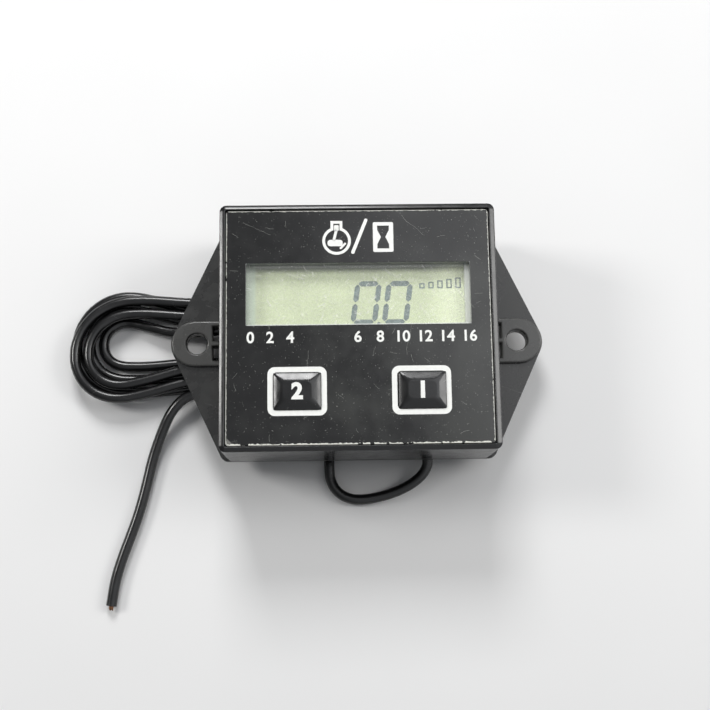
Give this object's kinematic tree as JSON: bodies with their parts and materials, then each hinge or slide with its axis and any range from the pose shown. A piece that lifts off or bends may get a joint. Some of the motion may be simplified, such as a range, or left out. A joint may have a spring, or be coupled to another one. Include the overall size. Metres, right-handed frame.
{
  "type": "digital tachometer",
  "caption": "Small panel tachometer and hour meter with a display window, sprung keys, an eared mounting base and a pickup lead wound into a hank.",
  "frame": {"origin": "middle of the mounting base's outline on the plane of the rear cover's back, which the meter and its lead rest on", "axes": "+X to the right of the dial, +Y up the dial, +Z out of the dial"},
  "size_m": [0.0912, 0.0724, 0.0236],
  "materials": {
    "casing_plastic": "satin black ABS with bright polished edges",
    "base_plastic": "fine-grained matte dark grey-black ABS",
    "panel_gloss": "glossy black film with fine scratches and dust",
    "key_gloss": "glossy black, domed",
    "clear_pane": "clear moulded acrylic pane",
    "display_glass": "clear display glass with a faint yellow-green cast",
    "reflector_film": "pale yellow-green reflector film",
    "rubber": "matte black rubber",
    "laminate": "green solder-masked glass-fibre laminate",
    "chip_body": "matte black resin",
    "capacitor_sleeve": "glossy dark blue sleeve",
    "steel": "zinc-plated steel",
    "nickel": "nickel-plated metal, lightly brushed",
    "switch_plastic": "matte dark plastic",
    "lead_sleeve": "glossy black flexible PVC",
    "copper": "bare stranded copper, slightly dull"
  },
  "bodies": {
    "meter": {"mounting_base": "base_plastic", "front_housing": "casing_plastic", "housing_gasket": "rubber", "front_panel": "panel_gloss", "battery_cover": "base_plastic", "battery_cover_seal": "rubber", "cover_screw_1": "steel", "cover_screw_2": "steel", "cover_screw_3": "steel", "cover_screw_4": "steel", "display_window": "clear_pane", "lcd_front_glass": "display_glass", "lcd_back_glass": "display_glass", "lcd_reflector": "reflector_film", "lcd_holder": "switch_plastic", "contact_strip_upper": "rubber", "contact_strip_lower": "rubber", "circuit_board": "laminate", "controller_blob": "chip_body", "quartz_crystal": "nickel", "storage_capacitor": "capacitor_sleeve", "input_resistor_1": "chip_body", "input_resistor_2": "chip_body", "input_resistor_3": "chip_body", "filter_capacitor_1": "nickel", "filter_capacitor_2": "nickel", "board_screw_1": "steel", "board_screw_2": "steel", "board_screw_3": "steel", "board_screw_4": "steel", "key_switch_left": "switch_plastic", "key_switch_right": "switch_plastic", "coin_cell": "nickel", "battery_contact_negative": "nickel", "battery_contact_positive": "nickel", "lead_grommet": "rubber", "lead_tail": "lead_sleeve", "lead_loop": "lead_sleeve", "lead_hank": "lead_sleeve", "lead_free_end": "lead_sleeve", "lead_core": "copper"},
    "left_key": {"key_cap_left": "key_gloss"},
    "right_key": {"key_cap_right": "key_gloss"},
    "left_plunger": {"key_plunger_left": "switch_plastic"},
    "right_plunger": {"key_plunger_right": "switch_plastic"}
  },
  "joints": [
    {"name": "left_key_press", "type": "slide", "parent": "meter", "child": "left_key", "axis": [0, 0, -1], "range_m": [0, 0.0005], "stiffness_N_per_m": 1000},
    {"name": "right_key_press", "type": "slide", "parent": "meter", "child": "right_key", "axis": [0, 0, -1], "range_m": [0, 0.0005], "stiffness_N_per_m": 1000},
    {"name": "left_plunger_press", "type": "slide", "parent": "meter", "child": "left_plunger", "axis": [0, 0, -1], "range_m": [0, 0.00025]},
    {"name": "right_plunger_press", "type": "slide", "parent": "meter", "child": "right_plunger", "axis": [0, 0, -1], "range_m": [0, 0.00025]}
  ],
  "couplings": [
    {"joint": "left_plunger_press", "follows": "left_key_press", "ratio": 0.5},
    {"joint": "right_plunger_press", "follows": "right_key_press", "ratio": 0.5}
  ]
}
